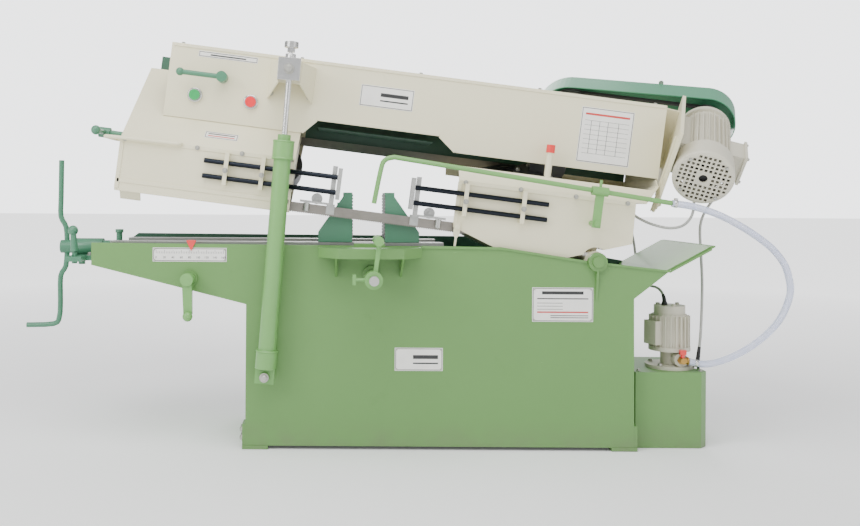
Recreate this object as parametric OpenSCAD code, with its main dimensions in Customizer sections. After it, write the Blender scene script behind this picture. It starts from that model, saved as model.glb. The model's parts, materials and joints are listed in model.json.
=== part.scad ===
// Horizontal hinged bandsaw: a fabricated base, a bow that swings on a rear hinge,
// a hydraulic feed cylinder, a screw vise and a flood coolant pump on its own tank.
// X runs along the machine, Y towards its back, Z up; the origin is on the floor,
// centred between the four foundation bolts.

/* [Base] */
// Half the length of the base cabinet
base_half = 558; // [500:1:620]
// Half the depth of the base
deep_half = 210; // [190:1:240]
// Height of the front panel's top edge
front_top = 586; // [560:1:620]
// Reach of the left extension from the centre
left_reach = 1003; // [900:1:1050]
// Thickness of the base sheet
sheet = 6; // [4:1:8]

/* [Bow] */
// Angle the bow is raised by at rest
lift = 7; // [1:0.5:20]
// Position of the hinge along the machine
hinge_x = 447.4; // [440:0.1:455]
// Height of the hinge
hinge_z = 542.8; // [540:0.1:545]
// Radius of the hinge shaft
shaft_r = 16; // [14:1:18]
// Radius of the band wheels
wheel_r = 200; // [180:1:200]
// Tilt of the wheels from level
wheel_tilt = 32; // [30:1:34]
// Turn of the gearbox and motor about the wheel axis
drive_turn = 16; // [14:1:18]
// Width of the saw blade
blade_w = 27; // [20:1:27]
// Thickness of the saw blade
blade_t = 0.9; // [0.6:0.1:1]

/* [Vise] */
// Level of the ground ways
way_z = 592; // [588:1:596]
// Face of the fixed jaw
fixed_face = -158; // [-170:1:-150]
// Opening between the jaws at rest
jaw_gap = 96; // [60:1:110]
// Height of the jaws
jaw_h = 146; // [120:1:160]

/* [Hidden] */
$fn = 48;
// colours
base_green = "#85a77d"; cyl_green = "#8cb982"; dark_green = "#2d5041"; lever_green = "#4b7d5a";
beige = "#d3d1c0"; motor_grey = "#c8c4af"; steel = "#b9babb"; dark_steel = "#3a3d44";
// running clearance of a shaft in its bore
run = 0.05;
back_top = front_top + 16;
// wheel places in the bow's own frame, whose origin is the hinge
left_wheel_x = -1080;
right_wheel_x = -180;
blade_y = -180;
blade_z = 46;
wheel_y = blade_y + wheel_r * cos(wheel_tilt);
wheel_z = blade_z + wheel_r * sin(wheel_tilt);
rim_r = wheel_r - 1.4;
// outer face of the wheel guards
guard_y = -196;
// pivots of the feed cylinder, at the base and in the bow's frame
cyl_y = -255;
foot_x = -499.5;
foot_z = 218;
top_u = -941;
top_w = 426;
top_x = hinge_x + top_u * cos(lift) + top_w * sin(lift);
top_z = hinge_z - top_u * sin(lift) + top_w * cos(lift);
cyl_lean = atan2(top_x - foot_x, top_z - foot_z);
cyl_len = norm([top_x - foot_x, top_z - foot_z]);
// vise screw
screw_y = -10;
screw_z = 567;
screw_r = 9;
// stop
stop_x = -200;
stop_z = 504;
hub_y = -405;
// outline of the base panels, as X and Z
base_outline = [[-left_reach, 525], [-left_reach, front_top + 3], [173, front_top - 3], [423, 545],
    [659, 519], [555, 437], [base_half, 10], [-base_half, 10], [-base_half, 415]];
// routes of the cords
hose_route = [[649, -246, 712], [705, -246, 704], [775, -237, 684], [840, -226, 655],
    [900, -215, 621], [953, -205, 583], [992, -195, 539], [1010, -188, 496], [1017, -182, 462],
    [1012, -175, 422], [992, -168, 373], [956, -162, 329], [906, -156, 288], [849, -154, 258],
    [800, -152, 243], [765, -151, 242], [735, -151, 249]];
motor_route = [[873, -93, 803], [871, -84, 786], [850, -70, 740], [818, -62, 690], [802, -62, 640],
    [800, -75, 560], [799, -88, 462], [793, -95, 334], [786, -98, 270], [779, -100, 221]];
pump_route = [[656, 190, 757], [658, 202, 735], [668, 222, 690], [684, 232, 640], [698, 234, 580],
    [704, 222, 515], [702, 165, 470], [694, 70, 452], [690, 0, 452], [690, -42, 446], [690, -70, 430],
    [690, -78, 407]];
loop_route = [[566, -120, 690], [590, -138, 668], [625, -156, 650], [668, -172, 640], [705, -176, 647],
    [733, -165, 670], [746, -154, 698], [748, -150, 727]];

module on_bow() {
    translate([hinge_x, 0, hinge_z]) rotate([0, lift, 0]) children();
}
module on_wheel(x) {
    on_bow() translate([x, wheel_y, wheel_z]) rotate([wheel_tilt, 0, 0]) children();
}
module on_drive() {
    on_wheel(right_wheel_x) rotate([0, 0, -drive_turn]) children();
}
module on_cylinder() {
    translate([foot_x, cyl_y, foot_z]) rotate([0, cyl_lean, 0]) children();
}
// a block given by its low and high corners
module box(low, high) {
    translate(low) cube(high - low);
}
// an outline in X and Z, spread from one Y to another
module plate(points, y0, y1) {
    translate([0, y1, 0]) rotate([90, 0, 0]) linear_extrude(y1 - y0) polygon(points);
}
// an outline in Y and Z, spread from one X to another
module slab(points, x0, x1) {
    translate([x0, 0, 0]) rotate([90, 0, 90]) linear_extrude(x1 - x0) polygon(points);
}
// a round bar from start, along +Y or +X or +Z
module bar_y(p, r, l) {
    translate(p) rotate([-90, 0, 0]) cylinder(r = r, h = l);
}
module bar_x(p, r, l) {
    translate(p) rotate([0, 90, 0]) cylinder(r = r, h = l);
}
function unit(v) = v / norm(v);
// a round cord swept along a route
module cord(route, r, sides = 10) {
    n = len(route);
    dirs = [for (i = [0:n - 1]) unit(route[min(i + 1, n - 1)] - route[max(i - 1, 0)])];
    rings = [for (i = [0:n - 1])
        let (d = dirs[i], a = unit(cross(d, [0.3, 1, 0.2])), b = cross(d, a))
        [for (k = [0:sides - 1]) route[i] + r * (a * cos(360 * k / sides) + b * sin(360 * k / sides))]];
    points = [for (ring = rings) each ring];
    sidewalls = [for (i = [0:n - 2], k = [0:sides - 1])
        let (m = (k + 1) % sides)
        each [[i * sides + k, (i + 1) * sides + k, (i + 1) * sides + m],
              [i * sides + k, (i + 1) * sides + m, i * sides + m]]];
    ends = [[for (k = [0:sides - 1]) k], [for (k = [sides - 1:-1:0]) (n - 1) * sides + k]];
    polyhedron(points, concat(sidewalls, ends));
}
// a Catmull-Rom smoothing of a route, steps pieces to each span
function spline(p, steps) = [for (i = [0:len(p) - 2], s = [0:steps - 1])
    let (t = s / steps, a = p[max(i - 1, 0)], b = p[i], c = p[i + 1], d = p[min(i + 2, len(p) - 1)])
    0.5 * (2 * b + (c - a) * t + (2 * a - 5 * b + 4 * c - d) * t * t + (3 * b - a - 3 * c + d) * t * t * t),
    p[len(p) - 1]];

// ---- base ----
module front_panel() {
    color(base_green) difference() {
        union() {
            plate(base_outline, -deep_half, -deep_half + sheet);
            // rolled lip along the right half of the top edge
            plate([[-55, front_top - 8], [-55, front_top], [173, front_top - 3], [418, 545.7], [418, 538.7],
                [173, front_top - 10]], -deep_half - 4, -deep_half);
            plate([[477, 533], [477, 539.5], [659, 519], [659, 513]], -deep_half - 4, -deep_half);
            // boss round the pressure crank and the stop shaft
            bar_y([-721, -deep_half - 8, 488], 24, 8);
            bar_y([stop_x, -deep_half - 12, stop_z], 24, 12);
            // stud of the feed cylinder's foot
            bar_y([foot_x, cyl_y - 14, foot_z], 8, -deep_half - cyl_y + 16);
            bar_y([foot_x, cyl_y - 25, foot_z], 14, 12);
        }
        bar_y([-721, -deep_half - 20, 488], 10 + run, 40);
        bar_y([stop_x, -deep_half - 20, stop_z], 13 + run, 40);
        bar_y([hinge_x, -deep_half - 20, hinge_z], shaft_r + 0.3, 40);
    }
}
module back_panel() {
    color(dark_green) difference() {
        plate([[-left_reach, 525], [-left_reach, 570], [-960, back_top], [173, back_top - 4], [423, 560], [659, 519],
            [555, 437], [base_half, 10], [-base_half, 10], [-base_half, 415]],
            deep_half - sheet, deep_half);
        bar_y([hinge_x, 0, hinge_z], shaft_r + run, 400);
    }
}
module end_sheets() {
    y = deep_half - sheet;
    color(base_green) {
        plate([[-left_reach, 525], [-left_reach, 546], [-left_reach + sheet, 546], [-left_reach + sheet, 529],
            [-base_half + sheet, 420], [-base_half + sheet, 10], [-base_half, 10], [-base_half, 415]], -y, y);
        plate([[base_half, 10], [base_half - sheet, 10], [555 - sheet, 440], [650, 519.5], [659, 519],
            [555, 437]], -y, y);
    }
}
// sloping floor of the chip trough, with the coolant drain at its low end
module chip_pan() {
    y = deep_half - sheet;
    color(dark_green) difference() {
        plate([[-990, 528], [-990, 532], [-552, 430], [549, 424], [549, 420], [-552, 426]], -y, y);
        translate([500, 60, 400]) cylinder(r = 20, h = 60);
    }
}
module bed_ways() {
    color(steel) {
        box([-965, -150, way_z - 40], [15, -100, way_z]);
        box([-965, 85, way_z - 40], [15, 135, way_z]);
        for (x = [-930, -500, -40]) box([x, -204, way_z - 60], [x + 40, 204, way_z - 40]);
    }
}
// floor pads with the foundation holes, and the corner plates above them
module base_feet() {
    color(base_green) for (sx = [-1, 1], sy = [-1, 1]) {
        difference() {
            translate([sx * 530 - 37, sy * 175 - 37, 0]) cube([74, 74, 10]);
            translate([sx * 530, sy * 175, -5]) cylinder(r = 7, h = 20);
        }
        translate([sx * 562.5 - 4.5, sy * 183 - 26, 10]) cube([9, 52, 62]);
    }
}
// upturned tray that catches coolant running off the hinge end
module chip_tray() {
    color(base_green) {
        plate([[659, 519], [650, 519.5], [778, 590], [790, 591], [790, 587]], -204, 204);
        for (y = [-deep_half, 204]) plate([[661, 514], [661, 520], [778, 585], [778, 578]], y, y + 6);
    }
}
module outfeed_shelf() {
    front = -deep_half - 120;
    color(base_green) {
        translate([0, 0, 554]) linear_extrude(28)
            polygon([[-350, -deep_half], [-350, -deep_half - 52], [-294, front], [-114, front],
                [-60, -deep_half - 52], [-60, -deep_half]]);
        for (x = [-303, -118])
            slab([[-deep_half - 110, 554], [-deep_half, 554], [-deep_half, 495]], x, x + sheet);
        // rest block level with the ways
        box([-250, -232, 582], [-162, -212, way_z]);
    }
}
// fixed shaft of the bow hinge in its two welded bosses
module hinge_pivot() {
    color(base_green) {
        bar_y([hinge_x, -deep_half - 20, hinge_z], shaft_r, 2 * deep_half + 36);
        difference() {
            union() {
                bar_y([hinge_x, -deep_half - 14, hinge_z], 27, 14);
                slab([[-deep_half - 14, 525], [-deep_half, 525], [-deep_half, 425]], hinge_x - 3, hinge_x + 3);
            }
            bar_y([hinge_x, -deep_half - 20, hinge_z], shaft_r, 30);
        }
        difference() {
            bar_y([hinge_x, deep_half, hinge_z], 27, 12);
            bar_y([hinge_x, deep_half - 5, hinge_z], shaft_r, 30);
        }
    }
}
// one vise jaw with its face at x = 0 and its back towards +X
module jaw(base_z) {
    top = way_z + jaw_h;
    box([0, -158, base_z], [27, 22, top]);
    box([27, -158, base_z], [100, 22, base_z + 24]);
    for (y = [-158, 6]) plate([[27, base_z + 24], [27, top - 12], [100, base_z + 30], [100, base_z + 24]], y, y + 16);
    box([27, -70, base_z + 24], [45, -54, top - 30]);
}
module fixed_jaw() {
    color(lever_green) translate([fixed_face, 0, 0]) jaw(way_z);
}
module moving_jaw() {
    color(lever_green) {
        translate([fixed_face - jaw_gap, 0, 0]) mirror([1, 0, 0]) jaw(way_z + 0.3);
        // nut block that hangs between the ways
        translate([fixed_face - jaw_gap - 80, 0, 0]) difference() {
            box([0, -60, screw_z - 26], [50, 40, way_z + 0.3]);
            bar_x([-10, screw_y, screw_z], screw_r + run, 80);
        }
    }
}
// bearing bracket of the vise screw at the left end, and the screwed post beside it
module screw_bracket() {
    color(lever_green) difference() {
        union() {
            bar_x([-1110, screw_y, screw_z], 26, 90);
            bar_x([-1020, screw_y, screw_z], 20, 55);
            box([-1105, screw_y - 60, 528], [-1003, screw_y + 60, 543]);
            box([-1090, screw_y - 12, 540], [-1030, screw_y + 12, 552]);
            box([-1003 + sheet, screw_y - 60, 534], [-945, screw_y + 60, 543]);
            box([-1105, -130, 528], [-1055, screw_y - 60, 543]);
            translate([-1075, screw_y - 40, 516]) cylinder(r = 10, h = 12);
            translate([-959, -60, 543]) cylinder(r = 9, h = 70);
            translate([-959, -60, 613]) cylinder(r = 12, h = 10);
        }
        bar_x([-1120, screw_y, screw_z], screw_r + run, 200);
        translate([-1080, -110, 510]) cylinder(r = 8 + run, h = 60);
    }
}
module vise_screw() {
    hub = [-1132, screw_y, screw_z];
    color(lever_green) {
        bar_x([-1150, screw_y, screw_z], 20, 38);
        cord(spline([hub + [0, 0, 8], hub + [-4, 0, 60], [-1152, screw_y, 660], [-1152, screw_y, 720],
            [-1151, screw_y, 833]], 3), 8);
        cord(spline([hub - [0, 0, 8], hub - [4, 0, 60], [-1152, screw_y, 475], [-1152, screw_y, 400],
            [-1155, screw_y, 350], [-1172, screw_y, 328], [-1255, screw_y, 324]], 3), 8);
    }
    color(steel) bar_x([-1112, screw_y, screw_z], screw_r, 912);
}
// ball-ended lever that locks the vise bracket
module vise_lock_lever() {
    color(lever_green) {
        translate([-1080, -110, 522]) cylinder(r = 8, h = 36);
        translate([-1080, -110, 558]) rotate([0, -5, 0]) cylinder(r1 = 12, r2 = 8, h = 56);
        translate([-1085, -110, 620]) sphere(r = 15);
    }
}
module stop_shaft() {
    color(steel) bar_y([stop_x, -deep_half - 238, stop_z], 13, 330);
}
module stop_arm() {
    color(cyl_green) {
        difference() {
            bar_y([stop_x, hub_y - 22, stop_z], 24, 44);
            bar_y([stop_x, hub_y - 40, stop_z], 13 + run, 80);
        }
        difference() {
            translate([stop_x - 1, hub_y - 9, stop_z + 18]) rotate([0, 7, 0]) cube([11, 18, 88]);
            bar_y([stop_x, hub_y - 40, stop_z], 23, 80);
        }
        bar_y([stop_x + 13, hub_y - 24, stop_z + 103], 13, 125);
        // wing screw that clamps the arm
        bar_x([stop_x - 52, hub_y, stop_z], 4.5, 30);
        translate([stop_x - 56, hub_y - 5, stop_z - 14]) cube([9, 10, 28]);
    }
}
module pressure_crank() {
    color(cyl_green) {
        bar_y([-721, -deep_half - 50, 488], 10, 70);
        bar_y([-721, -deep_half - 52, 488], 18, 42);
        plate([[-735, 488], [-707, 488], [-706, 390], [-730, 390]], -deep_half - 46, -deep_half - 30);
    }
    color(steel) translate([-717, -deep_half - 52, 385]) sphere(r = 14);
}
module scale_pointer() {
    color("#d9303c") plate([[-730.5, 597], [-701.5, 597], [-716, 567]], -deep_half - 4, -deep_half - 0.5);
    color("#d9303c") box([-726, -deep_half - 4, 594], [-706, -deep_half + 8, 598]);
}

// ---- coolant tank and pump ----
module coolant_tank() {
    x0 = 573; x1 = 787; y0 = -172; y1 = 90; c = 22;
    module outline(inset) {
        polygon([[x0 + inset, y0 + inset], [x1 - c, y0 + inset], [x1 - inset, y0 + c], [x1 - inset, y1 - inset],
            [x0 + inset, y1 - inset]]);
    }
    color(base_green) difference() {
        linear_extrude(220) outline(0);
        translate([0, 0, 3]) linear_extrude(214) outline(3);
        translate([704, -80, 200]) cylinder(r = 48, h = 40);
    }
}
module coolant_pump() {
    c = [704, -80, 0];
    color(motor_grey) translate(c) difference() {
        union() {
            translate([0, 0, 220]) cylinder(r = 70, h = 10);
            translate([0, 0, 230]) cylinder(r = 26, h = 42);
            translate([14, -60, 250]) rotate([-90, 0, 0]) cylinder(r = 20, h = 60);
            translate([0, 0, 272]) cylinder(r = 60, h = 12);
            translate([0, 0, 284]) cylinder(r1 = 54, r2 = 50, h = 96);
            for (a = [0:15:345]) rotate([0, 0, a]) translate([46, -2, 284]) cube([13, 4, 92]);
            translate([0, 0, 380]) cylinder(r = 45, h = 26);
            for (a = [30, 150, 270]) rotate([0, 0, a]) translate([34, 0, 404]) cylinder(r = 6, h = 8);
            rotate([0, 0, 200]) translate([48, -26, 292]) cube([24, 52, 70]);
            // suction column hanging in the tank
            translate([0, 0, 30]) cylinder(r = 22, h = 190);
        }
        for (a = [45:90:315]) rotate([0, 0, a]) translate([60, 0, 215]) cylinder(r = 4, h = 20);
        translate([14, -70, 250]) rotate([-90, 0, 0]) cylinder(r = 9, h = 40);
    }
    // brass outlet with its elbow
    color("#b08d57") {
        bar_y([718, -160, 250], 8.9, 33);
        bar_x([718, -151, 250], 9, 14);
    }
}
module pump_tap() {
    color("#d9303c") {
        translate([718, -151, 259.3]) cylinder(r = 6, h = 10);
        translate([709, -157, 268]) cube([18, 12, 14]);
    }
}

// ---- feed cylinder, drawn along its own axis from the foot pivot ----
module cylinder_tube() {
    tube_r = 24.5; bore_r = 20; top = 665;
    color(cyl_green) on_cylinder() {
        difference() {
            translate([-27, -12, -20]) cube([54, 24, 44]);
            bar_y([0, -20, 0], 8 + run, 40);
        }
        difference() {
            union() {
                translate([0, 0, 22]) cylinder(r = 29.5, h = 46);
                translate([0, 0, 68]) cylinder(r1 = 29.5, r2 = tube_r, h = 7);
                translate([0, 0, 60]) cylinder(r = tube_r, h = top - 80);
                translate([0, 0, top - 51]) cylinder(r = 30, h = 51);
                translate([0, 0, top]) cylinder(r = 18.5, h = 17);
            }
            translate([0, 0, 34]) cylinder(r = bore_r, h = top - 70);
            translate([0, 0, 100]) cylinder(r = 11, h = top);
        }
    }
}
module piston_rod() {
    color(steel) on_cylinder() difference() {
        union() {
            translate([0, 0, 300]) cylinder(r = 17, h = 24);
            translate([0, 0, 320]) cylinder(r = 8.3, h = cyl_len - 320 - 31.5);
        }
        translate([0, 0, 290]) cylinder(r = 3, h = 20);
    }
}
// block on the end of the rod, pinned to the bow's bracket
module rod_end_block() {
    color("#c9cbcc") on_cylinder() translate([0, 0, cyl_len]) {
        difference() {
            translate([-31.5, -32, -31.5]) cube([63, 60, 63]);
            bar_y([0, -50, 0], 12 + run, 100);
        }
        translate([0, 0, 31.5]) cylinder(r = 15, h = 14);
    }
}
// feed needle with its hexagon and knurled head
module feed_knob() {
    color("#bfc0be") on_cylinder() translate([0, 0, cyl_len + 45.8]) {
        cylinder(r = 5, h = 6);
        translate([0, 0, 5]) rotate([0, 0, 12]) cylinder(r = 11, h = 14, $fn = 6);
        translate([0, 0, 18]) cylinder(r = 19, h = 16);
    }
}

// ---- bow, drawn level about its hinge and then raised by lift ----
casing_top = 486;
// level that the guards' slope reaches at the upper casing's face
crease = 262;
module left_wheel_guard() {
    outline = [[guard_y, 27], [guard_y, 183], [80, 423], [204, 423], [204, 250], [190, 243], [-120, 60], [-173, 27]];
    inner = [[guard_y + 3, 30], [guard_y + 3, 182], [81, 420], [201, 420], [201, 252], [189, 246.5],
        [-122, 63.5], [-176, 30]];
    color(beige) difference() {
        on_bow() {
            difference() {
                slab(outline, -1404, -895);
                slab(inner, -1401, -894);
            }
            // hanging flap of the lower door
            slab([[-188, 28], [-168, 4], [-164, 6], [-182, 30]], -1390, -1330);
        }
        on_wheel(left_wheel_x) bar_x([-400, 0, 50], 9 + run, 200);
    }
}
module right_wheel_guard() {
    upper = [[guard_y, 183], [-105, crease], [204, crease], [204, 250], [150, 183]];
    color(beige) on_bow() {
        difference() {
            plate([[-420, 47], [-420, 183], [95, 183], [99, 63], [-95, -4], [-273, -5]], guard_y, 150);
            plate([[-430, 51], [-430, 200], [92, 200], [96, 65], [-95, -1], [-272, -2]], guard_y + 3, 160);
            bar_y([0, -220, 0], 41, 400);
            // slot for the blade
            box([-430, -184, 20], [-340, -176, 70]);
        }
        difference() {
            slab(upper, -420, 175);
            slab([[guard_y + 3, 170], [guard_y + 3, 182], [-104, crease + 4], [201, crease + 4], [201, 251],
                [150, 180]], -430, 172);
            plate([[95, 150], [177, 240], [300, 240], [300, 150]], -210, 220);
        }
        // end face that slopes back under the casing
        intersection() {
            slab(upper, 60, 190);
            plate([[92, 175], [100, 155], [179, 243], [172, 243]], -210, 210);
        }
    }
}
// upper casing with the window arch below it
module bow_casing() {
    front = [[-1310, crease + 3.5], [-1310, casing_top], [180, casing_top], [180, crease + 3.5], [-429, crease + 3.5],
        [-484, 308], [-852, 308], [-893, crease + 3.5]];
    color(beige) on_bow() difference() {
        union() {
            plate(front, -105, -102);
            box([-1310, -102, casing_top - 3], [180, 204, casing_top]);
            box([-1310, -102, 424], [-1307, 204, casing_top - 3]);
            box([177, -102, 244], [180, 204, casing_top - 3]);
        }
        for (x = [-1223, -1055]) bar_y([x, -120, 337], 13 + run, 30);
        bar_y([-1144, -120, 396], 9 + run, 30);
    }
}
module back_cover() {
    color(dark_green) difference() {
        on_bow() {
            box([-1400, 204, 245], [175, 209, 480]);
            box([-852, 60, 300], [-484, 204, 303]);
        }
        on_drive() bar_y([worm_x, 200, worm_z], 13, 250);
    }
}
// endless blade: level on the wheels' tilt above, turned upright between the guides below
module saw_blade() {
    e2 = [0, cos(wheel_tilt), sin(wheel_tilt)];
    e3 = [0, -sin(wheel_tilt), cos(wheel_tilt)];
    function rim(x, a) = [x, wheel_y, wheel_z] + wheel_r * (cos(a) * e2 + sin(a) * [1, 0, 0]);
    low = [0, blade_y, blade_z];
    right_arc = [for (a = [0:6:180]) [rim(right_wheel_x, a), cos(a) * e2 + sin(a) * [1, 0, 0], e3]];
    left_arc = [for (a = [180:6:360]) [rim(left_wheel_x, a), cos(a) * e2 + sin(a) * [1, 0, 0], e3]];
    function turned(x, t) = [low + [x, 0, 0], [0, -cos(wheel_tilt * t), -sin(wheel_tilt * t)],
        [0, -sin(wheel_tilt * t), cos(wheel_tilt * t)]];
    right_twist = [for (i = [1:6]) turned(right_wheel_x - 20 - i * 22, 1 - i / 6)];
    left_twist = [for (i = [0:5]) turned(left_wheel_x + 152 - i * 22, i / 6)];
    ring = concat(right_arc, right_twist, left_twist, left_arc);
    n = len(ring);
    points = [for (s = ring) each [for (c = [[-1, -1], [1, -1], [1, 1], [-1, 1]])
        s[0] + s[1] * c[0] * blade_t / 2 + s[2] * c[1] * blade_w / 2]];
    faces = [for (i = [0:n - 1], k = [0:3])
        let (j = (i + 1) % n, m = (k + 1) % 4)
        each [[i * 4 + k, i * 4 + m, j * 4 + m], [i * 4 + k, j * 4 + m, j * 4 + k]]];
    color("#8a8680") on_bow() polyhedron(points, faces);
}
module arm_hinge_tube() {
    color(beige) on_bow() difference() {
        union() {
            bar_y([0, -190, 0], 30, 380);
            for (y = [-150, 110]) plate([[-20, 20], [12, 20], [12, 110], [-30, 110]], y, y + 10);
        }
        bar_y([0, -200, 0], shaft_r + run, 400);
    }
}

// ---- drive: z runs along the wheel axis, y along the motor and worm shafts ----
motor_x = 460;
motor_z = 220;
worm_x = 50;
worm_z = 125;
belt_y = 430;
module gearbox() {
    color(motor_grey) on_drive() difference() {
        union() {
            translate([0, 0, 24]) cylinder(r = 62, h = 74);
            bar_y([worm_x, 10, worm_z], 36, 160);
            box([-20, 20, 90], [70, 140, 125]);
        }
        translate([0, 0, 0]) cylinder(r = 17 + run, h = 80);
        bar_y([worm_x, 60, worm_z], 11 + run, 200);
    }
}
module drive_wheel() {
    color(dark_steel) on_wheel(right_wheel_x) {
        wheel(17);
        translate([0, 0, 10]) cylinder(r = 17, h = 66);
    }
}
module idler_wheel() {
    color(dark_steel) on_wheel(left_wheel_x) wheel(17 + run);
}
// a spoked band wheel on its axis, with a hub bore where bore_r is above the shaft's size
module wheel(bore_r) {
    difference() {
        translate([0, 0, -15]) cylinder(r = rim_r, h = 30, $fn = 96);
        for (z = [-40, 6]) translate([0, 0, z]) difference() {
            cylinder(r = rim_r - 16, h = 34);
            translate([0, 0, -1]) cylinder(r = 40, h = 40);
        }
        for (a = [0:60:300]) rotate([0, 0, a]) translate([112, 0, -20]) cylinder(r = 38, h = 40);
        if (bore_r > 17) translate([0, 0, -20]) cylinder(r = bore_r, h = 60);
    }
}
// slide block with the stub axle that the idler wheel runs on
module idler_carriage() {
    color("#7d8084") on_wheel(left_wheel_x) {
        translate([0, 0, -14]) cylinder(r = 17, h = 52);
        translate([-60, -40, 38]) cube([120, 80, 24]);
    }
}
module tension_handle() {
    color(lever_green) on_wheel(left_wheel_x) translate([0, 0, 50]) {
        bar_x([-400, 0, 0], 9, 339.5);
        bar_x([-430, 0, 0], 16, 34);
        rotate([-wheel_tilt, 0, 0]) {
            bar_y([-414, -96, 0], 8, 192);
            for (y = [-100, 100]) translate([-414, y, 0]) sphere(r = 14);
        }
    }
}
module motor_body() {
    color(motor_grey) on_drive() difference() {
        union() {
            bar_y([motor_x, 66, motor_z], 66, 280);
            for (a = [0:12:348]) if (abs(a - 180) > 40) translate([motor_x, 0, motor_z]) rotate([0, a, 0])
                translate([62, 72, -1.5]) cube([14, 250, 3]);
            bar_y([motor_x, 340, motor_z], 76, 18);
            box([motor_x - 88, 96, motor_z - 50], [motor_x - 50, 300, motor_z + 50]);
            // terminal box
            box([motor_x + 60, 120, motor_z - 40], [motor_x + 104, 220, motor_z + 40]);
            box([motor_x + 104, 114, motor_z - 46], [motor_x + 112, 226, motor_z + 46]);
        }
        bar_y([motor_x, 280, motor_z], 12 + run, 90);
    }
}
module motor_cowl() {
    color(motor_grey) on_drive() difference() {
        union() {
            bar_y([motor_x, 14, motor_z], 84, 76);
            translate([motor_x, 0, motor_z]) rotate([-90, 0, 0]) rotate_extrude()
                polygon([[0, 5], [74, 5], [81, 8], [84, 14], [0, 14]]);
        }
        bar_y([motor_x, 10, motor_z], 79, 52);
        bar_y([motor_x, 60, motor_z], 78, 40);
        bar_y([motor_x, 0, motor_z], 12, 20);
        // square grille holes
        for (i = [-5:5], k = [-5:5]) if (norm([i, k]) < 5.4 && norm([i, k]) > 1.9)
            translate([motor_x + i * 13 - 4, 0, motor_z + k * 13 - 4]) cube([8, 20, 8]);
    }
}
// channel that carries the motor, with the pivot lugs below it
module motor_mount() {
    x = motor_x - 88;
    color(beige) difference() {
        on_drive() {
            box([x - 10, 30, 76], [x, 310, 330]);
            box([x - 26, 24, 76], [x, 30, 330]);
            for (y = [60, 250]) box([x - 90, y, 100], [x - 10, y + 6, 300]);
            plate([[x - 110, 150], [x - 10, 150], [x + 10, 76], [x - 20, 40], [x - 110, 90]], 54, 60);
            bar_y([x - 14, 36, 66], 12, 18);
        }
        // trimmed flush with the end of the casing
        on_bow() box([-500, -400, -400], [180.5, 500, 900]);
    }
}
module belt_guard() {
    a = [worm_x, worm_z]; b = [motor_x, motor_z];
    module outline(grow) {
        hull() {
            translate(a) circle(r = 118 + grow);
            translate(b) circle(r = 92 + grow);
        }
    }
    low = [[-200, -150], [900, -150], [900, b[1] - 10], [b[0], b[1] - 30], [a[0], a[1] + 20], [-200, a[1] + 20]];
    color(lever_green) on_drive() translate([0, belt_y + 45, 0]) rotate([90, 0, 0]) {
        linear_extrude(90) difference() {
            outline(0);
            outline(-3);
            polygon(low);
        }
        linear_extrude(3) difference() {
            outline(-2);
            polygon(low);
        }
    }
}
module grooved_pulley(r, l, bore) {
    rotate([-90, 0, 0]) difference() {
        rotate_extrude() polygon([[bore, -l / 2], [r, -l / 2], [r, -13], [r - 10, -9], [r - 10, -5], [r, -1],
            [r, 1], [r - 10, 5], [r - 10, 9], [r, 13], [r, l / 2], [bore, l / 2]]);
    }
}
module gearbox_pulley() {
    color(dark_steel) on_drive() {
        translate([worm_x, belt_y, worm_z]) grooved_pulley(88, 32, 10);
        bar_y([worm_x, 70, worm_z], 11, belt_y - 50);
    }
}
module motor_pulley() {
    color(dark_steel) on_drive() {
        translate([motor_x, belt_y, motor_z]) grooved_pulley(46, 32, 10);
        bar_y([motor_x, 290, motor_z], 12, belt_y - 270);
    }
}
module drive_belts() {
    a = [worm_x, worm_z]; b = [motor_x, motor_z];
    module outline(grow) {
        hull() {
            translate(a) circle(r = 84 + grow, $fn = 64);
            translate(b) circle(r = 42 + grow, $fn = 48);
        }
    }
    color("#202022") on_drive() for (y = [-7, 7]) translate([0, belt_y + y + 2, 0]) rotate([90, 0, 0])
        linear_extrude(4) difference() {
            outline(3);
            outline(-4);
        }
}

// ---- fittings on the bow ----
module cylinder_bracket() {
    // steel pin through the rod-end block
    color(steel) on_bow() {
        bar_y([top_u, cyl_y - 36, top_w], 12, 84);
        bar_y([top_u, cyl_y - 38, top_w], 13, 4);
    }
    color(beige) on_bow() {
        box([top_u - 32, -222, top_w - 32], [top_u + 32, -214, top_w + 32]);
        for (s = [-1, 1]) hull() {
            translate([top_u + s * 32 - 2, -216, top_w - 32]) cube([4, 2, 64]);
            translate([top_u + s * 66 - 2, -107, top_w - 72]) cube([4, 2, 108]);
        }
        hull() {
            translate([top_u - 32, -216, top_w + 28]) cube([64, 2, 4]);
            translate([top_u - 66, -107, top_w + 32]) cube([132, 2, 4]);
        }
    }
}
rod_y = -206;
rod_high = 145;
rod_low = 101;
module guide_clamps() {
    color(beige) on_bow() for (x = [-1090, -985, -396, -229]) {
        difference() {
            box([x - 6, rod_y - 11, rod_low - 20], [x + 6, guard_y, rod_high + 30]);
            for (z = [rod_low, rod_high]) bar_x([x - 20, rod_y, z], 7 + run, 40);
        }
        bar_y([x, rod_y - 15, (rod_low + rod_high) / 2], 7, 4);
    }
    // tongue that sets how low the bow can come, running down inside the front panel
    color(beige) on_bow() {
        plate([[-418, 62], [-400, 62], [-400, 26], [-406, 16], [-406, -8], [-412, -8], [-412, 16], [-418, 26]],
            guard_y - 6, guard_y);
        bar_y([-409, guard_y - 11, 48], 7, 5);
    }
}
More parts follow.
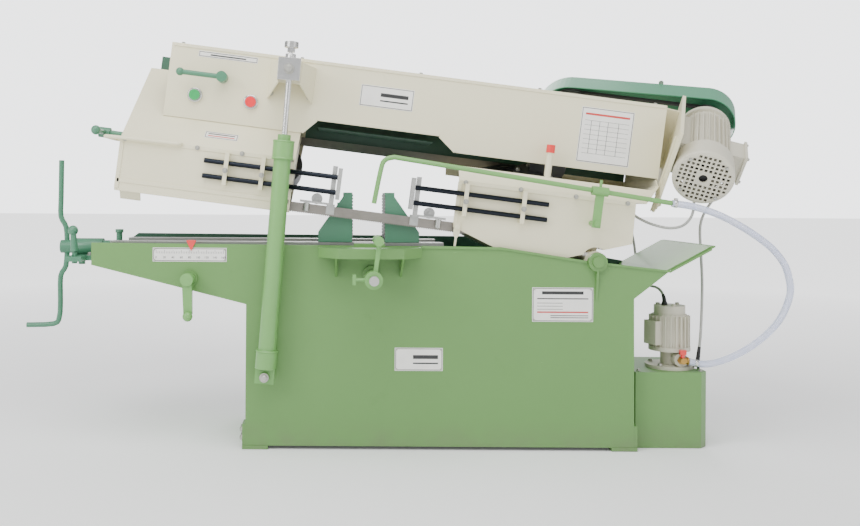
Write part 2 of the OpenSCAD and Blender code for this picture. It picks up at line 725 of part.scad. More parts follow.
// bar bent round the left end for lifting the bow by hand
module lift_handle() {
    color(beige) on_bow() cord(spline([[-1228, guard_y - 0.3, 182], [-1228, -199, 182], [-1228, -202, 182], [-1242, -210, 182], [-1300, -211, 181], [-1400, -211, 179],
        [-1440, -204, 178], [-1450, -180, 178], [-1450, -80, 178], [-1440, -62, 178], [-1425, -60, 178],
        [-1404.3, -60, 178]], 3), 5.5);
}
module oil_filler() {
    color(beige) on_bow() difference() {
        translate([-157, -140, 220]) cylinder(r = 10, h = 82);
        slab([[guard_y, 150], [guard_y, 183], [-105, crease], [0, crease], [0, 150]], -200, -100);
    }
    color("#d9303c") on_bow() translate([-157, -140, 298]) cylinder(r = 12.5, h = 24);
}
// sliding guide: two rods, end plate, square bar, and the block the blade runs in; side = -1 or 1
module guide(x, side) {
    color(dark_steel) for (z = [rod_low, rod_high])
        bar_x([side < 0 ? x - 393 : x - 3, rod_y, z], 7, 396);
    color("#6b6e70") difference() {
        box([x - 6, rod_y - 12, rod_low - 20], [x + 6, rod_y + 13, rod_high + 27]);
        for (z = [rod_low, rod_high]) bar_x([side < 0 ? x - 7 : x - 3, rod_y, z], 7, 10);
    }
    bar_at = x + side * 16;
    color("#c9cbcc") {
        box([bar_at - 7, rod_y + 8, 60], [bar_at + 7, rod_y + 13, rod_high + 32]);
        box([bar_at - 7, rod_y + 8, 60], [bar_at + 7, -180, 66]);
        difference() {
            box([bar_at - 12, -192, 36], [bar_at + 12, -168, 66]);
            box([bar_at - 20, blade_y - 0.8, 30], [bar_at + 20, blade_y + 0.8, 61]);
        }
        // arm to the roller and the backing bearing
        box([min(bar_at, bar_at + side * 90), -199, 62.5], [max(bar_at, bar_at + side * 90), -186, 69]);
        bar_y([bar_at + side * 42, -193, 77], 4, 26);
        bar_y([bar_at + side * 42, -185, 77], 16, 10);
        translate([bar_at + side * 70, blade_y - 10.2, 35]) cylinder(r = 3, h = 30);
    }
}
module left_guide() {
    on_bow() guide(-762, -1);
}
module right_guide() {
    on_bow() guide(-550, 1);
}
module guide_roller(x) {
    color("#c9cbcc") on_bow() translate([x, blade_y - 10.2, 38]) difference() {
        union() {
            cylinder(r = 9, h = 24);
            cylinder(r = 9.6, h = 5);
        }
        translate([0, 0, -5]) cylinder(r = 3 + run, h = 40);
    }
}
module left_roller() {
    guide_roller(-848);
}
module right_roller() {
    guide_roller(-464);
}
module push_button(x, tint) {
    color(tint) on_bow() {
        bar_y([x, -115, 337], 13, 30);
        bar_y([x, -121, 337], 16, 8);
    }
}
module start_button() {
    push_button(-1223, "#21a857");
}
module stop_button() {
    push_button(-1055, "#f0303a");
}
module feed_lever() {
    color(lever_green) on_bow() {
        bar_y([-1144, -135, 396], 9, 50);
        bar_y([-1144, -160, 396], 16, 40);
        bar_x([-1262, -148, 396], 7.5, 112);
        translate([-1268, -148, 396]) rotate([0, 0, 135]) sphere(r = 12);
    }
}
pipe_y = -246;
module coolant_pipe() {
    color(cyl_green) on_bow() cord(spline([[178, pipe_y, 193], [90, pipe_y, 196], [-40, pipe_y, 200.7],
        [-300, pipe_y, 210], [-580, pipe_y, 220], [-620, pipe_y, 220], [-643, pipe_y, 208], [-650, pipe_y, 180],
        [-657, pipe_y, 84]], 3), 7);
}
// swivel collar of the pipe, its bracket and wing screw
module pipe_clamp() {
    color(cyl_green) on_bow() {
        difference() {
            bar_x([-50, pipe_y, 200.3], 13, 46);
            bar_x([-60, pipe_y, 200.3], 8.8, 80);
        }
        box([-38, pipe_y - 3, 96], [-14, pipe_y + 3, 189]);
        bar_y([-26, pipe_y - 8, 108], 8, guard_y - pipe_y + 8);
        translate([-27, pipe_y, 212]) cylinder(r = 4, h = 20);
    }
}

// ---- cords ----
module coolant_hose() {
    color([0.75, 0.8, 0.95, 0.6]) cord(hose_route, 10, 12);
}
module motor_cable() {
    color("#a9aaa6") cord(spline(motor_route, 2), 4, 8);
}
module pump_cable() {
    color("#a9aaa6") cord(spline(pump_route, 2), 4, 8);
}
module switch_cable() {
    color("#a9aaa6") cord(spline(loop_route, 2), 4, 8);
}

front_panel();
back_panel();
end_sheets();
chip_pan();
bed_ways();
base_feet();
chip_tray();
outfeed_shelf();
hinge_pivot();
fixed_jaw();
screw_bracket();
coolant_tank();
coolant_pump();
pump_tap();
moving_jaw();
vise_screw();
vise_lock_lever();
stop_shaft();
stop_arm();
pressure_crank();
scale_pointer();
cylinder_tube();
piston_rod();
rod_end_block();
feed_knob();
bow_casing();
left_wheel_guard();
right_wheel_guard();
back_cover();
saw_blade();
arm_hinge_tube();
gearbox();
motor_body();
motor_cowl();
motor_mount();
belt_guard();
gearbox_pulley();
motor_pulley();
drive_belts();
cylinder_bracket();
guide_clamps();
lift_handle();
oil_filler();
left_guide();
right_guide();
left_roller();
right_roller();
idler_wheel();
drive_wheel();
idler_carriage();
tension_handle();
start_button();
stop_button();
feed_lever();
coolant_pipe();
pipe_clamp();
coolant_hose();
motor_cable();
pump_cable();
switch_cable();
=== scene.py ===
import json
import math

import bmesh
import bpy
from mathutils import Matrix, Vector


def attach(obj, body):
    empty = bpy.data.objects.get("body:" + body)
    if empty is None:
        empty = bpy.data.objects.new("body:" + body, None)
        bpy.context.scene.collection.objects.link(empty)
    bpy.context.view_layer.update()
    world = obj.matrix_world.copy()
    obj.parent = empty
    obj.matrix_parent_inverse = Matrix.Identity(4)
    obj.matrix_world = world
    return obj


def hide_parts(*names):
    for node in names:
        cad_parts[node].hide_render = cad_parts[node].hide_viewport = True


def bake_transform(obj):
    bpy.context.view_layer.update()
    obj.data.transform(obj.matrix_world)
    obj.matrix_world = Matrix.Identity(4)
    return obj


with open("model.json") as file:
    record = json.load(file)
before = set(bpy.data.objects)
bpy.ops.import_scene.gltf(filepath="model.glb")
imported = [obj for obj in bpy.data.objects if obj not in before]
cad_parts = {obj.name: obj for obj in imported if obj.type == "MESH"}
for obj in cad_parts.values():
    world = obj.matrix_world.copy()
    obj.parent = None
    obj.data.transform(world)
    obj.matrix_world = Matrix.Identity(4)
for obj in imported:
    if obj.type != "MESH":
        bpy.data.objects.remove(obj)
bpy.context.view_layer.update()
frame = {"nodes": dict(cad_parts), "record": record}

# ---- Viewpoint ----
# The machine is seen from its operator's side, square on, from a little above the vise.
eye = bpy.data.cameras.new("eye")
eye.lens = 37.7
eye.sensor_width = 36
eye.shift_x = 0.105
eye.shift_y = -0.073
eye.clip_start = 0.05
viewpoint = bpy.data.objects.new("eye", eye)
bpy.context.collection.objects.link(viewpoint)
viewpoint.matrix_world = (Matrix.Translation((-0.2913, -2.793, 0.715)) @ Matrix.Rotation(math.radians(90), 4, "X")
                          @ Matrix.Rotation(0.0064, 4, "Z"))
bpy.context.scene.camera = viewpoint

# ---- Coolant hose and electric cables ----
# The hose is ribless clear vinyl that droops from the pipe on the bow to the pump's brass outlet.
# The cables are grey rubber leads, strain-relieved at both ends.


class Value:
    """A shader value that adds its own Math nodes when it is used in arithmetic."""

    def __init__(self, recipe, socket):
        self.recipe = recipe
        self.socket = socket

    def calc(self, operation, *terms):
        return self.recipe.node("ShaderNodeMath", {"operation": operation}, dict(enumerate(terms)))

    def __add__(self, other):
        return self.calc("ADD", self, other)

    def __mul__(self, other):
        return self.calc("MULTIPLY", self, other)

    def __sub__(self, other):
        return self.calc("SUBTRACT", self, other)

    def __rsub__(self, other):
        return self.calc("SUBTRACT", other, self)

    def __gt__(self, other):
        return self.calc("GREATER_THAN", self, other)

    def __lt__(self, other):
        return self.calc("LESS_THAN", self, other)

    __radd__ = __add__
    __rmul__ = __mul__

    def near(self, middle, reach):
        return (self > middle - reach) * (self < middle + reach)

    def steps(self, low, high):
        """0 below low, 1 above high, and a straight climb between them."""
        return self.recipe.node("ShaderNodeMapRange", {}, {0: self, 1: low, 2: high, 3: 0.0, 4: 1.0})


class Finish:
    """One procedural finish: a Principled surface and the nodes that feed it."""

    def __init__(self, name, colour, roughness=0.5, metallic=0.0, **fixed):
        self.material = bpy.data.materials.new(name)
        self.material.use_nodes = True
        self.tree = self.material.node_tree
        self.surface = self.tree.nodes["Principled BSDF"]
        self.colour = colour
        self.set("Base Color", (*colour, 1))
        self.set("Roughness", roughness)
        self.set("Metallic", metallic)
        for socket, number in fixed.items():
            self.set(socket.replace("_", " "), number)
        self.place = self.node("ShaderNodeTexCoord", {}, {}, "Object")

    def set(self, socket, value):
        target = self.surface.inputs[socket]
        if isinstance(value, Value):
            self.tree.links.new(value.socket, target)
        else:
            target.default_value = value
        return self

    def node(self, kind, settings, inputs, output=0):
        made = self.tree.nodes.new(kind)
        for name, setting in settings.items():
            setattr(made, name, setting)
        for name, value in inputs.items():
            if isinstance(value, Value):
                self.tree.links.new(value.socket, made.inputs[name])
            else:
                made.inputs[name].default_value = value
        return Value(self, made.outputs[output])

    def scaled(self, x=1.0, y=1.0, z=1.0, turn=(0.0, 0.0, 0.0)):
        return self.node("ShaderNodeMapping", {}, {"Vector": self.place, "Scale": (x, y, z), "Rotation": turn})

    def noise(self, scale, detail=3.0, rough=0.55, place=None):
        return self.node("ShaderNodeTexNoise", {}, {"Vector": place or self.place, "Scale": scale,
                                                    "Detail": detail, "Roughness": rough})

    def along(self, axis):
        return self.node("ShaderNodeSeparateXYZ", {}, {0: self.place}, "XYZ".index(axis))

    def blend(self, mask, a, b):
        """Colour a where the mask is 0 and b where it is 1."""
        full = [(*c, 1) if isinstance(c, tuple) and len(c) == 3 else c for c in (a, b)]
        return self.node("ShaderNodeMix", {"data_type": "RGBA"}, {0: mask, 6: full[0], 7: full[1]}, 2)

    def bump(self, height, strength, distance=0.001):
        self.set("Normal", self.node("ShaderNodeBump", {}, {"Strength": strength, "Distance": distance,
                                                            "Height": height}))
        return self

    def shades(self, amount):
        """The finish's own colour, darker and lighter by amount."""
        return (tuple(c * (1 - amount) for c in self.colour), tuple(min(1, c * (1 + amount)) for c in self.colour))


def linear(code):
    """A screen colour such as 85a77d as the renderer's own red, green and blue."""
    parts = [int(code[i:i + 2], 16) / 255 for i in (0, 2, 4)]
    return tuple(p / 12.92 if p < 0.04045 else ((p + 0.055) / 1.055) ** 2.4 for p in parts)


def smooth_route(points, steps):
    """The points in millimetres on one smooth curve, in metres."""
    pts = [Vector(p) / 1000 for p in points]
    out = []
    for i in range(len(pts) - 1):
        a, b, c, d = pts[max(i - 1, 0)], pts[i], pts[i + 1], pts[min(i + 2, len(pts) - 1)]
        for s in range(steps):
            t = s / steps
            out.append(0.5 * (2 * b + (c - a) * t + (2 * a - 5 * b + 4 * c - d) * t * t
                              + (3 * b - a - 3 * c + d) * t ** 3))
    return out + [pts[-1]]


def add_piece(name, mesh, finish, body, slot, *stands_for):
    piece = bpy.data.objects.new(name, mesh)
    bpy.context.collection.objects.link(piece)
    mesh.materials.clear()
    mesh.materials.append(finish.material)
    if stands_for:
        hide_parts(*stands_for)
    if body:
        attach(piece, body)
    return piece


def tube_mesh(name, route, radius, sides=14):
    """A closed round tube along the route; radius is a number or one number per point."""
    bm = bmesh.new()
    count = len(route)
    radii = radius if isinstance(radius, list) else [radius] * count
    side = None
    rings = []
    for i, p in enumerate(route):
        way = (route[min(i + 1, count - 1)] - route[max(i - 1, 0)]).normalized()
        side = way.cross(Vector((0.3, 1, 0.2))) if side is None else side - way * side.dot(way)
        side.normalize()
        up = way.cross(side)
        rings.append([bm.verts.new(p + radii[i] * (side * math.cos(a) + up * math.sin(a)))
                      for a in (math.tau * k / sides for k in range(sides))])
    for a, b in zip(rings, rings[1:]):
        for k in range(sides):
            m = (k + 1) % sides
            bm.faces.new((a[k], a[m], b[m], b[k]))
    bm.faces.new(rings[0][::-1])
    bm.faces.new(rings[-1])
    bmesh.ops.recalc_face_normals(bm, faces=bm.faces)
    for f in bm.faces:
        f.smooth = len(f.verts) == 4
    mesh = bpy.data.meshes.new(name)
    bm.to_mesh(mesh)
    bm.free()
    return mesh


def length_of(route):
    return sum((b - a).length for a, b in zip(route, route[1:]))


vinyl = Finish("clear_vinyl", linear("c3cdf2"), 0.16, Transmission_Weight=0.35, IOR=1.42, Coat_Weight=0.5)
haze = vinyl.noise(60.0)
vinyl.set("Base Color", vinyl.blend(haze, linear("ccd6fb"), linear("f4f6ff")))
vinyl.set("Alpha", 0.82)
vinyl.set("Roughness", 0.12 + haze * 0.15)
vinyl.bump(vinyl.noise(140.0), 0.12)

lead_grey = Finish("cable_sheath", linear("a5a6a1"), 0.55)
lead_grey.set("Base Color", lead_grey.blend(lead_grey.noise(40.0), *lead_grey.shades(0.18)))
lead_grey.set("Roughness", 0.45 + lead_grey.noise(90.0) * 0.2)
lead_grey.bump(lead_grey.noise(900.0), 0.25, 0.0004)

hose_points = [[649, -246, 712], [705, -246, 704], [775, -237, 684], [840, -226, 655],
               [900, -215, 621], [953, -205, 583], [992, -195, 539], [1010, -188, 496], [1017, -182, 462],
               [1012, -175, 422], [992, -168, 373], [956, -162, 329], [906, -156, 288], [849, -154, 258],
               [800, -152, 243], [765, -151, 242], [735, -151, 249]]
motor_points = [[873, -93, 803], [871, -84, 786], [850, -70, 740], [818, -62, 690], [802, -62, 640],
                [800, -75, 560], [799, -88, 462], [793, -95, 334], [786, -98, 270], [779, -100, 221]]
pump_points = [[656, 190, 757], [658, 202, 735], [668, 222, 690], [684, 232, 640], [698, 234, 580],
               [704, 222, 515], [702, 165, 470], [694, 70, 452], [690, 0, 452], [690, -42, 446], [690, -70, 430],
               [690, -78, 407]]
loop_points = [[566, -120, 690], [590, -138, 668], [625, -156, 650], [668, -172, 640], [705, -176, 647],
               [733, -165, 670], [746, -154, 698], [748, -150, 727]]
hose_radius, lead_radius = 0.010, 0.004
curve_steps = 4
for name, node, points, radius, finish, slot in (
        ("coolant_hose_vinyl", "coolant_hose", hose_points, hose_radius, vinyl, "clear_hose"),
        ("motor_lead", "motor_cable", motor_points, lead_radius, lead_grey, "cable"),
        ("pump_lead", "pump_cable", pump_points, lead_radius, lead_grey, "cable"),
        ("switch_lead", "switch_cable", loop_points, lead_radius, lead_grey, "cable")):
    route = smooth_route(points, curve_steps)
    lead = add_piece(name, tube_mesh(name, route, radius, 16), finish, None, slot, node)
    if name == "switch_lead":
        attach(lead, "bow")
    else:
        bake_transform(lead)
    round(length_of(route), 4)
    2 * radius

# ---- Base cabinet and its feet ----
# Folded and welded steel sheet, sprayed in one coat of light green enamel.
# The inside and the back are dark green, and coolant and dust have dulled the lowest edge.


def enamel(name, code, roughness=0.42, mottle=0.09, peel=0.10, dull_below=None):
    """Sprayed gloss paint: faint clouding, fine scratches and the orange peel of the spray."""
    paint = Finish(name, linear(code), roughness, Coat_Weight=0.05, Coat_Roughness=0.2)
    cloud = paint.noise(3.0, 4.0)
    fine = paint.noise(55.0, 5.0, 0.7)
    colour = paint.blend(cloud * 0.75 + fine * 0.25, *paint.shades(mottle))
    scratch = paint.noise(26.0, 5.0, 0.65, paint.scaled(1.0, 1.0, 14.0, (0.0, 0.5, 0.0))) > 0.705
    colour = paint.blend(scratch * 0.35, colour, tuple(min(1, c * 1.5 + 0.05) for c in paint.colour))
    rub = paint.noise(9.0, 6.0, 0.7).steps(0.62, 0.76)
    colour = paint.blend(rub * 0.22, colour, tuple(c * 0.62 for c in paint.colour))
    if dull_below:
        grime = (1 - paint.along("Z").steps(0.0, dull_below)) * paint.noise(14.0).steps(0.3, 0.7)
        colour = paint.blend(grime * 0.45, colour, linear("6d6a58"))
    paint.set("Base Color", colour)
    paint.set("Roughness", roughness - 0.05 + fine * 0.12 + rub * 0.14)
    return paint.bump(paint.noise(420.0, 2.0) * peel + cloud * 0.6 + scratch * -0.05, 0.35, 0.0012)


base_green = enamel("base_enamel", "628f4d", dull_below=0.09)
dark_green = enamel("inside_enamel", "2f5a45", 0.42, 0.12)
cylinder_green = enamel("cylinder_enamel", "6fa45b", 0.36)
lever_green = enamel("casting_enamel", "467d60", 0.36, 0.12, 0.3)
beige = enamel("bow_enamel", "e3ddbe", 0.36, 0.05)
steel_slots = {"base_paint": base_green, "dark_paint": dark_green, "cylinder_paint": cylinder_green,
               "lever_paint": lever_green, "beige_paint": beige}


def dress(finish, *nodes):
    """Gives CAD nodes a finish in every slot."""
    for name in nodes:
        for place in frame["nodes"][name].material_slots:
            place.material = finish.material


def soften(width, *nodes):
    """Rounds the edges of CAD nodes by width, as paint and handling leave them."""
    for name in nodes:
        solid = frame["nodes"][name]
        solid.modifiers.new("merge", "WELD").merge_threshold = 0.00001
        flat = solid.modifiers.new("flat", "DECIMATE")
        flat.decimate_type = "DISSOLVE"
        flat.angle_limit = math.radians(0.4)
        edge = solid.modifiers.new("edge", "BEVEL")
        edge.width = width
        edge.segments = 2
        edge.limit_method = "ANGLE"
        edge.angle_limit = math.radians(35)
        edge.harden_normals = True


for entry in frame["record"]["subparts"]:
    if entry["material_slot"] in steel_slots:
        dress(steel_slots[entry["material_slot"]], entry["node"])


class Grower:
    """A Geometry Nodes tree that is built node by node, with named inputs for its sizes."""

    def __init__(self, name, **sizes):
        self.tree = bpy.data.node_groups.new(name, "GeometryNodeTree")
        face = self.tree.interface
        face.new_socket("Geometry", in_out="INPUT", socket_type="NodeSocketGeometry")
        self.keys = {label: face.new_socket(label, in_out="INPUT", socket_type="NodeSocketFloat").identifier
                     for label in sizes}
        self.sizes = sizes
        face.new_socket("Geometry", in_out="OUTPUT", socket_type="NodeSocketGeometry")
        self.source = self.tree.nodes.new("NodeGroupInput")
        self.sink = self.tree.nodes.new("NodeGroupOutput")

    def node(self, kind, settings, inputs):
        made = self.tree.nodes.new(kind)
        for name, setting in settings.items():
            setattr(made, name, setting)
        for name, value in inputs.items():
            if isinstance(value, bpy.types.NodeSocket):
                self.tree.links.new(value, made.inputs[name])
            else:
                made.inputs[name].default_value = value
        return made

    def size(self, label, share=1.0, extra=0.0):
        """A share of a named size, plus something extra."""
        sized = self.node("ShaderNodeMath", {"operation": "MULTIPLY_ADD"},
                          {0: self.source.outputs[label], 1: share, 2: extra})
        return sized.outputs[0]

    def lifted(self, shape, height):
        """The shape raised by a height."""
        lift = self.node("ShaderNodeCombineXYZ", {}, {"Z": height})
        return self.node("GeometryNodeTransform", {}, {"Geometry": shape.outputs[0], "Translation": lift.outputs[0]})

    def end(self, shape, finish):
        real = self.node("GeometryNodeRealizeInstances", {}, {"Geometry": shape})
        done = self.node("GeometryNodeSetMaterial", {}, {"Geometry": real.outputs[0], "Material": finish.material})
        self.tree.links.new(done.outputs[0], self.sink.inputs[0])
        return self

    def grow(self, name, seed_mesh, body, slot, finish):
        """Runs the tree on a seed mesh and leaves a plain mesh that rides on body."""
        seed = bpy.data.objects.new(name + "_seed", seed_mesh)
        bpy.context.collection.objects.link(seed)
        runner = seed.modifiers.new("grow", "NODES")
        runner.node_group = self.tree
        for label, key in self.keys.items():
            runner[key] = self.sizes[label]
        grown = bpy.data.meshes.new_from_object(seed.evaluated_get(bpy.context.evaluated_depsgraph_get()))
        seed.modifiers.remove(runner)
        bpy.data.objects.remove(seed)
        grown.name = name
        return add_piece(name, grown, finish, body, slot)


def seeds(places, facings):
    """Loose points that carry which way each grown piece faces."""
    mesh = bpy.data.meshes.new("seeds")
    mesh.from_pydata([tuple(p) for p in places], [], [])
    facing = mesh.attributes.new("facing", "FLOAT_VECTOR", "POINT")
    for i, way in enumerate(facings):
        facing.data[i].vector = way
    return mesh


def hex_bolts(name, body, places, facing, across=0.016, high=0.007, slot="ground_steel", finish=None):
    """Hexagon heads, each on its washer, facing one way."""
    finish = finish or zinc
    tree = Grower(name + "_rule", Across=across, High=high)
    washer_high = 0.002
    head = tree.node("GeometryNodeMeshCylinder", {},
                     {"Vertices": 6, "Radius": tree.size("Across", 0.577), "Depth": tree.size("High")})
    crown = tree.node("GeometryNodeMeshCone", {},
                      {"Vertices": 12, "Radius Bottom": tree.size("Across", 0.48),
                       "Radius Top": tree.size("Across", 0.40), "Depth": tree.size("High", 0.16)})
    washer = tree.node("GeometryNodeMeshCylinder", {},
                       {"Vertices": 20, "Radius": tree.size("Across", 0.78), "Depth": washer_high})
    whole = tree.node("GeometryNodeJoinGeometry", {}, {})
    for part in (tree.lifted(head, tree.size("High", 0.5, washer_high)),
                 tree.lifted(crown, tree.size("High", 1.0, washer_high)),
                 tree.lifted(washer, washer_high / 2)):
        tree.tree.links.new(part.outputs[0], whole.inputs[0])
    way = tree.node("GeometryNodeInputNamedAttribute", {"data_type": "FLOAT_VECTOR"}, {"Name": "facing"})
    turn = tree.node("FunctionNodeAlignRotationToVector", {"axis": "Z"}, {"Vector": way.outputs[0]})
    put = tree.node("GeometryNodeInstanceOnPoints", {}, {"Points": tree.source.outputs[0],
                                                         "Instance": whole.outputs[0], "Rotation": turn.outputs[0]})
    return tree.end(put.outputs[0], finish).grow(name, seeds(places, [facing] * len(places)), body, slot, finish)


zinc = Finish("zinc_plate", linear("b9bab6"), 0.34, 0.9)
zinc.set("Base Color", zinc.blend(zinc.noise(120.0), linear("9a9b98"), linear("cfcdc2")))
zinc.set("Roughness", 0.28 + zinc.noise(300.0) * 0.22)
zinc.bump(zinc.noise(700.0), 0.15, 0.0004)

# The coolant tank stands against the front right foot, which has no bolts on its outside.
for side, way, rows in ((-1, "left", (-1, 1)), (1, "right", (1,))):
    hex_bolts("foot_bolts_" + way, "base", [(side * 0.5671, row * 0.183 + dy, z) for row in rows
                                            for dy in (-0.014, 0.014) for z in (0.030, 0.054)],
              (side, 0, 0), 0.012, 0.005, "base_paint")

# ---- Ground and machined steel ----
# The ways, the stop bar and the guides are ground bare steel, blued rods carry the guides,
# and the wheels, pulleys and gearbox are machined grey iron.


def bare_steel(name, code, roughness, grain=(1.0, 30.0, 30.0), metallic=0.95):
    """Ground or turned steel with its grain, light stain and a few rust specks."""
    steel = Finish(name, linear(code), roughness, metallic)
    marks = steel.noise(45.0, 4.0, 0.7, steel.scaled(*grain))
    stain = steel.noise(11.0, 5.0).steps(0.52, 0.72)
    speck = steel.noise(160.0, 2.0) > 0.735
    colour = steel.blend(marks, *steel.shades(0.16))
    colour = steel.blend(stain * 0.3, colour, linear("5f5c55"))
    steel.set("Base Color", steel.blend(speck * 0.4, colour, linear("6b4a33")))
    steel.set("Roughness", roughness - 0.06 + marks * 0.2 + stain * 0.12)
    return steel.bump(marks, 0.18, 0.0005)


ground = bare_steel("ground_steel", "bdbdb9", 0.30)
blued = bare_steel("blued_steel", "2c3038", 0.30, metallic=0.8)
iron = bare_steel("machined_iron", "6c6d6f", 0.46, (8.0, 8.0, 8.0))
bright = bare_steel("plated_steel", "d4d4d2", 0.20, (1.0, 1.0, 20.0))
by_slot = {"ground_steel": ground, "black_steel": blued, "cast_iron": iron, "bright_steel": bright}
for entry in frame["record"]["subparts"]:
    if entry["material_slot"] in by_slot:
        dress(by_slot[entry["material_slot"]], entry["node"])

# The guide node joins blued rods and pale ground blocks, so its finish changes with its place:
# the two rods lie outside the end plate at known heights in the bow's own frame.
bow_hinge = (0.4474, 0, 0.5428)
bow_rise = math.radians(7)
bow_place = Matrix.Translation(bow_hinge) @ Matrix.Rotation(bow_rise, 4, "Y")


def on_bow(u, y, w):
    return bow_place @ Vector((u, y, w))


def bow_way(u, y, w):
    return (bow_place.to_3x3() @ Vector((u, y, w))).normalized()


def bow_axis(finish, axis):
    """The distance along one of the bow's own axes, in metres, from its hinge."""
    way = bow_way(*((axis == k) * 1.0 for k in "XYZ"))
    moved = finish.node("ShaderNodeVectorMath", {"operation": "SUBTRACT"}, {0: finish.place, 1: bow_hinge})
    return finish.node("ShaderNodeVectorMath", {"operation": "DOT_PRODUCT"}, {0: moved, 1: tuple(way)}, 1)


rod_front, low_rod, high_rod, rod_reach, plate_half = -0.206, 0.101, 0.145, 0.0075, 0.0062
for side, plate_u in (("left", -0.762), ("right", -0.550)):
    guide = bare_steel(side + "_guide_steel", "c2c2bf", 0.32)
    span = bow_axis(guide, "X")
    height = bow_axis(guide, "Z")
    past_plate = (span < plate_u - plate_half) if side == "left" else (span > plate_u + plate_half)
    deep = bow_axis(guide, "Y").near(rod_front, rod_reach)
    is_rod = past_plate * deep * (height.near(low_rod, rod_reach) + height.near(high_rod, rod_reach))
    fleck = guide.noise(90.0, 4.0)
    pale = guide.blend(fleck, linear("9fa09e"), linear("cfcfcc"))
    guide.set("Base Color", guide.blend(is_rod, pale, linear("252930")))
    guide.set("Roughness", 0.42 - is_rod * 0.14 + fleck * 0.08)
    dress(guide, side + "_guide")
soften(0.0008, "left_guide", "right_guide", "bed_ways", "idler_carriage", "rod_end_block")

# ---- Vise ----
# Two green castings with serrated steel faces, moved by an acme screw with a bent two-arm crank.
thread_steel = linear("a9a9a6")
crank = enamel("crank_enamel", "427a5d", 0.36, 0.12, 0.3)
crank_hub_end, thread_pitch = -1.1118, 0.006
screw_side = crank.along("X") > crank_hub_end
turn = crank.node("ShaderNodeMath", {"operation": "SINE"}, {0: crank.along("X") * (math.tau / thread_pitch)})
crank.set("Base Color", crank.blend(screw_side, crank.blend(crank.noise(30.0), *crank.shades(0.15)), thread_steel))
crank.set("Metallic", screw_side * 0.9)
crank.bump(turn * screw_side + crank.noise(200.0) * 0.1, 0.6, 0.0015)
dress(crank, "vise_screw")
soften(0.0012, "fixed_jaw", "moving_jaw", "vise_lock_lever", "screw_bracket")


def block_mesh(name, low, high, place=None, round_by=0.001):
    """A block with rounded edges, given by its low and high corners, turned by place."""
    bm = bmesh.new()
    bmesh.ops.create_cube(bm, size=1.0)
    low, high = Vector(low), Vector(high)
    for v in bm.verts:
        v.co = (low + high) / 2 + Vector(a * b for a, b in zip(v.co, high - low))
    if round_by:
        bmesh.ops.bevel(bm, geom=bm.edges[:], offset=round_by, segments=2, affect="EDGES", profile=0.5)
    if place:
        bm.transform(place)
    mesh = bpy.data.meshes.new(name)
    bm.to_mesh(mesh)
    bm.free()
    return mesh


def joined(name, meshes):
    """Several meshes made one."""
    bm = bmesh.new()
    for part in meshes:
        bm.from_mesh(part)
    mesh = bpy.data.meshes.new(name)
    bm.to_mesh(mesh)
    bm.free()
    return mesh


jaw_steel = bare_steel("jaw_face_steel", "8f908d", 0.44, (1.0, 12.0, 12.0))
rib_proud, rib_high, rib_pitch = 0.0022, 0.0062, 0.0094
for name, body, face, way in (("fixed_jaw_face", "base", -0.158, -1), ("moving_jaw_face", "moving_jaw", -0.254, 1)):
    near_side, far_side = sorted((face, face + way * rib_proud))
    ribs = [block_mesh("rib", (near_side, -0.154, z), (far_side, 0.018, z + rib_high), None, 0.0008)
            for z in (0.604 + k * rib_pitch for k in range(14))]
    add_piece(name, joined(name, ribs), jaw_steel, body, "ground_steel")
hex_bolts("jaw_bolts", "base", [(-0.092, y, 0.616) for y in (-0.115, -0.025)], (0, 0, 1), 0.019, 0.009)
hex_bolts("bracket_bolts", "base", [(-1.050, -0.052, 0.543), (-0.975, -0.035, 0.543)], (0, 0, 1), 0.013, 0.006)

# ---- Scale and name plates ----
# Printed aluminium plates, riveted at the corners. They carry only rules and a plain graduated scale.
plate_white = Finish("plate_white", linear("eceae4"), 0.4, Coat_Weight=0.3)
plate_white.set("Base Color", plate_white.blend(plate_white.noise(25.0), linear("e2e0da"), linear("f4f3ef")))
plate_white.bump(plate_white.noise(300.0), 0.08, 0.0004)
plate_ink = Finish("plate_ink", linear("2a2b2c"), 0.45)
plate_ink.set("Base Color", plate_ink.blend(plate_ink.noise(80.0), linear("1c1d1e"), linear("3a3b3b")))
plate_red = Finish("plate_red", linear("c8322f"), 0.42)
plate_red.set("Base Color", plate_red.blend(plate_red.noise(80.0), linear("b82a28"), linear("d64540")))


plate_thick = 0.0008


def name_plate(name, body, place, wide, high, rules, red_rows=(), slot="beige_paint"):
    """A plate in place's own X and Z, facing its -Y, with an inked border and ruled rows."""
    face, edge, inset = -plate_thick, 0.0016, 0.002
    print_face = face - 0.0003
    add_piece(name, block_mesh(name, (-wide / 2, face, -high / 2), (wide / 2, 0, high / 2), place, 0.0003),
              plate_white, body, slot)
    x, z = wide / 2 - inset, high / 2 - inset
    ink = [block_mesh("line", (left, print_face, low), (right, face, top), place, 0) for left, right, low, top in (
        (-x, x, z - edge, z), (-x, x, -z, -z + edge), (-x, -x + edge, -z, z), (x - edge, x, -z, z))]
    red = []
    for left, right, level, thick in rules:
        bar = block_mesh("rule", (left * wide, print_face, level * high),
                         (right * wide, face, level * high + thick), place, 0)
        (red if level in red_rows else ink).append(bar)
    add_piece(name + "_ink", joined(name + "_ink", ink), plate_ink, body, slot)
    if red:
        add_piece(name + "_red", joined(name + "_red", red), plate_red, body, slot)


base_front, casing_front = -0.210, -0.105


def bow_plate(u, y, w, tilt=0.0):
    """A place on the bow's front; tilt leans the plate back from upright, in radians."""
    return bow_place @ Matrix.Translation((u, y, w)) @ Matrix.Rotation(-tilt, 4, "X")


def base_plate(x, z):
    return Matrix.Translation((x, base_front, z))


